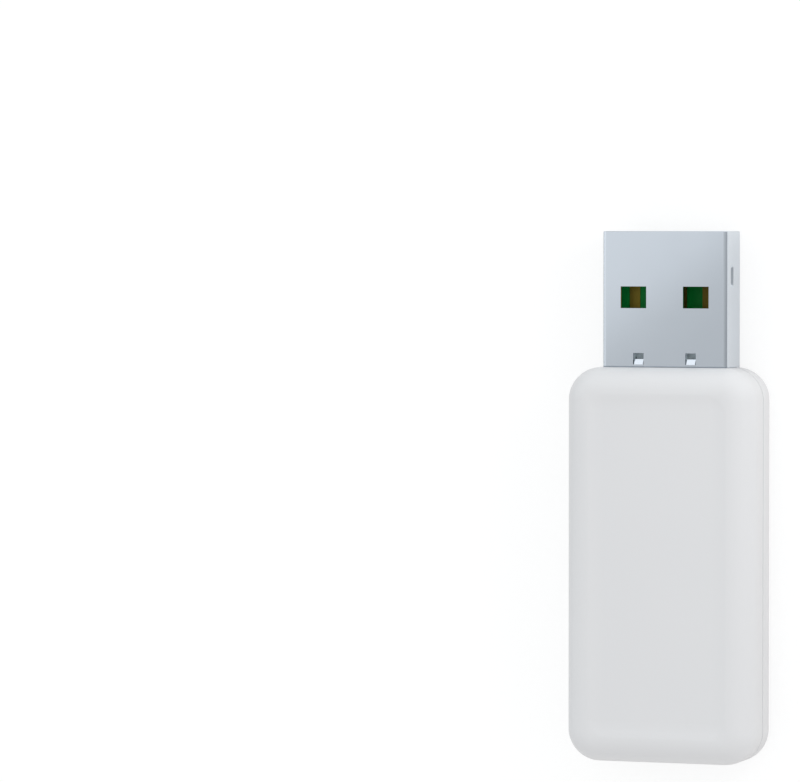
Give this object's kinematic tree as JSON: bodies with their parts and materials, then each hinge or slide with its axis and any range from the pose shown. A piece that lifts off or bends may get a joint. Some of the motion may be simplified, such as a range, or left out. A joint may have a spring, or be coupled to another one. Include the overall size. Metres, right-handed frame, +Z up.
{
  "type": "smart home usb radio stick",
  "caption": "White USB radio stick for a smart home: a rounded two-part plastic housing with a steel standard-A plug on one end.",
  "frame": {"origin": "under the middle of the stick, on the plane of its flat rear face, which it lies on", "axes": "+Y along the stick to the plug's mouth, +Z up and out of the front face, +X to the right with the plug pointing away"},
  "size_m": [0.018, 0.049, 0.0082],
  "materials": {
    "housing_plastic": "fine satin moulded finish",
    "plug_steel": "satin plated sheet",
    "carrier_plastic": "smooth moulded, white",
    "board_laminate": "glossy lacquer over laminate",
    "contact_gold": "plated",
    "solder": "bright reflowed",
    "chip_plastic": "moulded",
    "tinned_metal": "tinned",
    "crystal_ceramic": "fired ceramic",
    "crystal_metal": "plated lid",
    "filter_ceramic": "fired ceramic",
    "antenna_metal": "tinned sheet",
    "antenna_ceramic": "glazed ceramic",
    "inductor_ceramic": "fired ceramic",
    "capacitor_ceramic": "fired ceramic",
    "resistor_film": "glazed film",
    "ferrite": "sintered",
    "fuse_body": "laminate"
  },
  "bodies": {
    "root": {"band_filter": "filter_ceramic", "bulk_capacitor_terminals": "tinned_metal", "bulk_capacitors": "capacitor_ceramic", "ceramic_antenna": "antenna_ceramic", "ceramic_antenna_terminals": "tinned_metal", "circuit_board": "board_laminate", "contact_data_minus": "contact_gold", "contact_data_plus": "contact_gold", "contact_ground": "contact_gold", "contact_power": "contact_gold", "decoupling_capacitor_terminals": "tinned_metal", "decoupling_capacitors": "capacitor_ceramic", "ferrite_bead": "ferrite", "ferrite_bead_terminals": "tinned_metal", "folded_antenna": "antenna_metal", "front_housing": "housing_plastic", "long_range_chip_solder": "solder", "long_range_crystal_base": "crystal_ceramic", "long_range_crystal_lid": "crystal_metal", "long_range_radio_chip": "chip_plastic", "matching_inductor_terminals": "tinned_metal", "matching_inductors": "inductor_ceramic", "mesh_chip_solder": "solder", "mesh_crystal_base": "crystal_ceramic", "mesh_crystal_lid": "crystal_metal", "mesh_radio_chip": "chip_plastic", "plug_insulator": "carrier_plastic", "plug_shell": "plug_steel", "plug_solder_joints": "solder", "power_fuse": "fuse_body", "power_fuse_terminals": "tinned_metal", "rear_housing": "housing_plastic", "resistor_terminals": "tinned_metal", "resistors": "resistor_film", "surge_protector": "chip_plastic", "surge_protector_leads": "tinned_metal", "usb_bridge_chip": "chip_plastic", "usb_bridge_solder": "solder", "voltage_regulator": "chip_plastic", "voltage_regulator_leads": "tinned_metal"}
  },
  "joints": []
}
